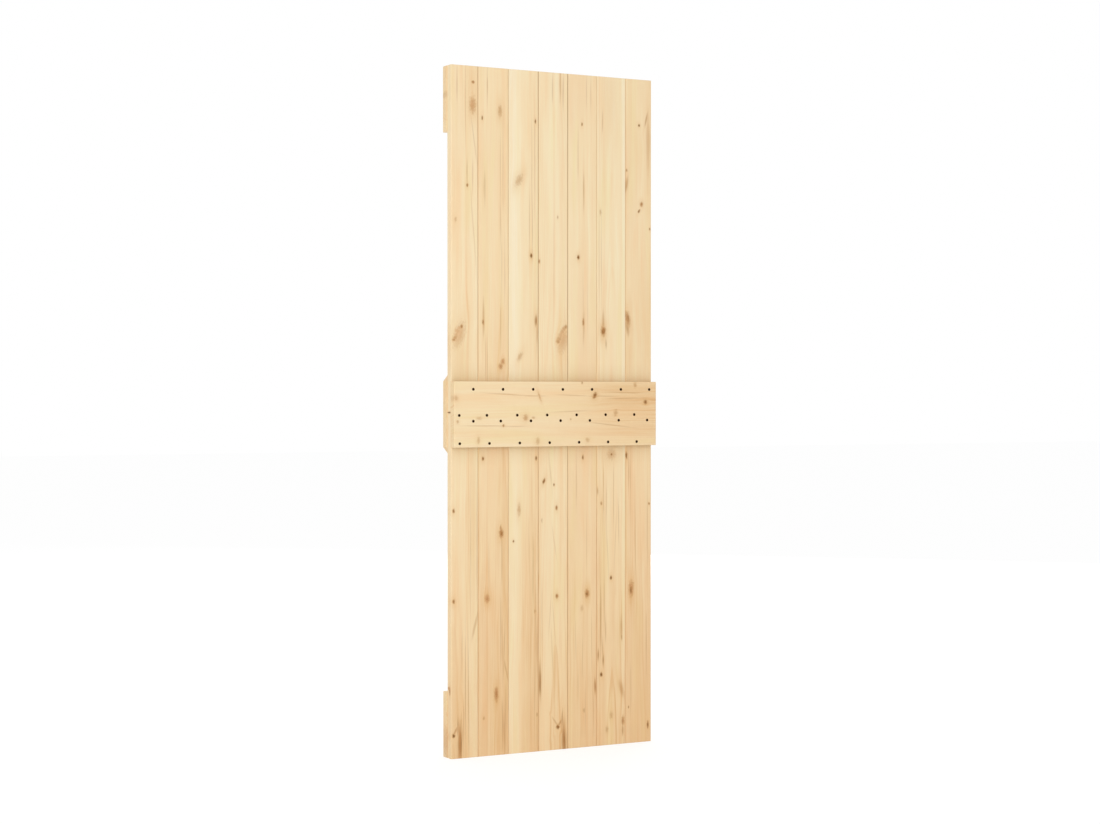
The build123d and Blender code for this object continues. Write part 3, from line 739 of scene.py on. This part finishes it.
def recess_cutter():
    """A cross of two tapered blades, for the driver."""
    made = bmesh.new()
    for turn in (0.0, math.pi / 2):
        blade = bmesh.ops.create_cube(made, size=1.0)["verts"]
        for vert in blade:
            upper = vert.co.z > 0
            taper = 1.0 if upper else RECESS_TAPER
            vert.co.x *= RECESS_LENGTH * taper
            vert.co.y *= RECESS_WIDTH * taper
            vert.co.z = RECESS_OVERSHOOT if upper else -RECESS_DEPTH
        bmesh.ops.rotate(made, verts=blade, cent=(0, 0, 0), matrix=Matrix.Rotation(turn, 3, "Z"))
    return made


def mesh_object(name, made):
    mesh = bpy.data.meshes.new(name)
    made.to_mesh(mesh)
    made.free()
    found = bpy.data.objects.new(name, mesh)
    bpy.context.scene.collection.objects.link(found)
    return found


def screw_mesh():
    """One screw head with its driver recess, axis along Z, top at 0."""
    head = mesh_object("screw_blank", lathe((
        (SCREW_NECK_RADIUS, -SCREW_CONE_DEPTH), (SCREW_HEAD_RADIUS, -SCREW_RIM),
        (SCREW_HEAD_RADIUS, -SCREW_BEVEL_DEPTH), (SCREW_HEAD_RADIUS - SCREW_BEVEL_WIDTH, 0.0)), SCREW_SIDES))
    cutter = mesh_object("screw_recess", recess_cutter())
    cut = head.modifiers.new("recess", "BOOLEAN")
    cut.operation = "DIFFERENCE"
    cut.solver = "EXACT"
    cut.use_self = True
    cut.object = cutter
    mesh = bpy.data.meshes.new_from_object(head.evaluated_get(bpy.context.evaluated_depsgraph_get()))
    bpy.data.objects.remove(head)
    bpy.data.objects.remove(cutter)
    return mesh


def screw_material():
    material, graph = new_material("black_screw_steel")
    place = graph.node("ShaderNodeTexCoord").outputs["Object"]
    seam_shade_fade = graph.smooth(graph.noise(place, WEAR_PACE, RICH), *WEAR_RANGE)
    colour = graph.colours(seam_shade_fade, DARK_STEEL, WORN_STEEL)
    rough = graph.scaled(seam_shade_fade, WORN_ROUGHENS, STEEL_ROUGHNESS)
    shader = graph.node("ShaderNodeBsdfPrincipled", {
        "Base Color": colour, "Roughness": rough, "Specular IOR Level": STEEL_SHEEN})
    graph.node("ShaderNodeOutputMaterial", {"Surface": shader.outputs[0]})
    return material


def back_screw_places():
    """Screw centres on the back rail, as X and Z."""
    places = []
    for drop, across_whole, across_left in BACK_SCREW_ROWS:
        level = rail_high.z - drop * RAIL_HEIGHT
        for number, (left, right) in enumerate(board_edges):
            step = across_left * LEFT_BOARD_WIDTH if number == 0 else across_whole * BOARD_PITCH
            places.append((min(left + step, right - SCREW_EDGE_MARGIN), level))
    return places


def front_screw_places():
    """Screw centres on the front top and bottom rails and the braces, as X and Z."""
    places = []
    for node in ("front_top_rail", "front_bottom_rail"):
        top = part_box(node)[1].z
        for drop, share in FRONT_SCREW_ROWS:
            for left, right in board_edges:
                places.append((left + share * (right - left), top - drop * RAIL_HEIGHT))
    for node, slope in BRACE_SLOPES.items():
        middle, run, rise = brace_line(node)
        length = math.hypot(run, rise)
        for side, number in BRACE_SCREWS:
            across = sum(board_edges[number]) / 2
            level = middle.z + slope * rise / run * (across - middle.x)
            shift = side * BRACE_SCREW_OFFSET / length
            places.append((across - shift * rise, level + slope * shift * run))
    return places


def make_screws(name, places, face_y, outward):
    """Screws as one joined mesh, each turned differently. outward is 1 on the front and -1 on the back."""
    one = screw_mesh()
    joined = bmesh.new()
    upright = Matrix.Rotation(-outward * math.pi / 2, 4, "X")
    for count, (across, level) in enumerate(places):
        start = len(joined.verts)
        joined.from_mesh(one)
        joined.verts.ensure_lookup_table()
        spin = Matrix.Rotation(math.radians(SCREW_TURN * count), 4, "Z")
        place = Matrix.Translation((across, face_y - outward * SCREW_SUNK, level))
        bmesh.ops.transform(joined, matrix=place @ upright @ spin, verts=joined.verts[start:])
    made = mesh_object(name, joined)
    made.data.materials.append(screw_steel)
    bpy.data.meshes.remove(one)
    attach(made, "root")


screw_steel = screw_material()
make_screws("back_screws", back_screw_places(), BACK_FACE_Y, -1)
make_screws("front_screws", front_screw_places(), FRONT_FACE_Y, 1)

# Studio: white floor and surround, soft light
WHITE = grey(1.0)
LIGHT_LEVEL = 0.72
FLOOR_SIZE = 60.0
FLOOR_GREY = 0.85
FLOOR_GLOW = 0.70
FLOOR_SHADE = 0.40
LAMP_PLACES = {"back_light": (-4.8, -5.5, -0.5), "front_light": (4.8, 5.5, -0.5)}
LAMP_AIM = (0, 0, -0.85)
LAMP_SIZE = 3.5
LAMP_WATTS = 190.0


def seen_directly(graph):
    """1 for rays that show the background: camera, glossy and transmission rays."""
    path = graph.node("ShaderNodeLightPath").outputs
    direct = graph.math("MAXIMUM", path["Is Camera Ray"], path["Is Glossy Ray"])
    return graph.math("MAXIMUM", direct, path["Is Transmission Ray"])


world = bpy.data.worlds.new("studio")
bpy.context.scene.world = world
world.use_nodes = True
sky = Graph(world.node_tree)
sky.tree.nodes.clear()
light_sky = sky.node("ShaderNodeBackground", {"Color": WHITE, "Strength": LIGHT_LEVEL})
white_sky = sky.node("ShaderNodeBackground", {"Color": WHITE, "Strength": 1.0})
both = sky.node("ShaderNodeMixShader", {
    0: seen_directly(sky), 1: light_sky.outputs[0], 2: white_sky.outputs[0]})
sky.node("ShaderNodeOutputWorld", {"Surface": both.outputs[0]})

bpy.ops.mesh.primitive_plane_add(size=FLOOR_SIZE, location=(0, 0, FOOT))
floor = bpy.context.object
floor.name = "studio_floor"
floor_material, ground = new_material("pale_floor")
plain = ground.node("ShaderNodeBsdfDiffuse", {"Color": grey(FLOOR_GREY)})
shaded = ground.node("ShaderNodeBsdfDiffuse", {"Color": grey(FLOOR_SHADE)})
glow = ground.node("ShaderNodeEmission", {"Color": WHITE, "Strength": FLOOR_GLOW})
shown = ground.node("ShaderNodeAddShader", {0: glow.outputs[0], 1: shaded.outputs[0]})
either = ground.node("ShaderNodeMixShader", {
    0: seen_directly(ground), 1: plain.outputs[0], 2: shown.outputs[0]})
ground.node("ShaderNodeOutputMaterial", {"Surface": either.outputs[0]})
floor.data.materials.append(floor_material)

for name, place in LAMP_PLACES.items():
    lamp_data = bpy.data.lights.new(name, "AREA")
    lamp_data.shape = "SQUARE"
    lamp_data.size = LAMP_SIZE
    lamp_data.energy = LAMP_WATTS
    lamp = bpy.data.objects.new(name, lamp_data)
    lamp.location = place
    lamp.rotation_euler = (Vector(LAMP_AIM) - Vector(place)).to_track_quat("-Z", "Y").to_euler()
    bpy.context.scene.collection.objects.link(lamp)

# Camera at the photograph's place: 27 degrees to the left of square, nearly level
FOCAL_PIXELS = 1983.5
PHOTO_WIDTH = 1100
SENSOR_WIDTH = 36.0
CAMERA_PLACE = (-2.8027, -5.5285, -0.8944)
CAMERA_DOWN = 0.524  # degrees
CAMERA_RIGHT = 27.013  # degrees
camera_data = bpy.data.cameras.new("photo_camera")
camera_data.sensor_fit = "HORIZONTAL"
camera_data.sensor_width = SENSOR_WIDTH
camera_data.lens = FOCAL_PIXELS / PHOTO_WIDTH * SENSOR_WIDTH
camera = bpy.data.objects.new("photo_camera", camera_data)
camera.location = CAMERA_PLACE
camera.rotation_euler = (math.radians(90 - CAMERA_DOWN), 0.0, math.radians(-CAMERA_RIGHT))
bpy.context.scene.collection.objects.link(camera)
bpy.context.scene.camera = camera
bpy.context.scene.view_settings.view_transform = "Standard"
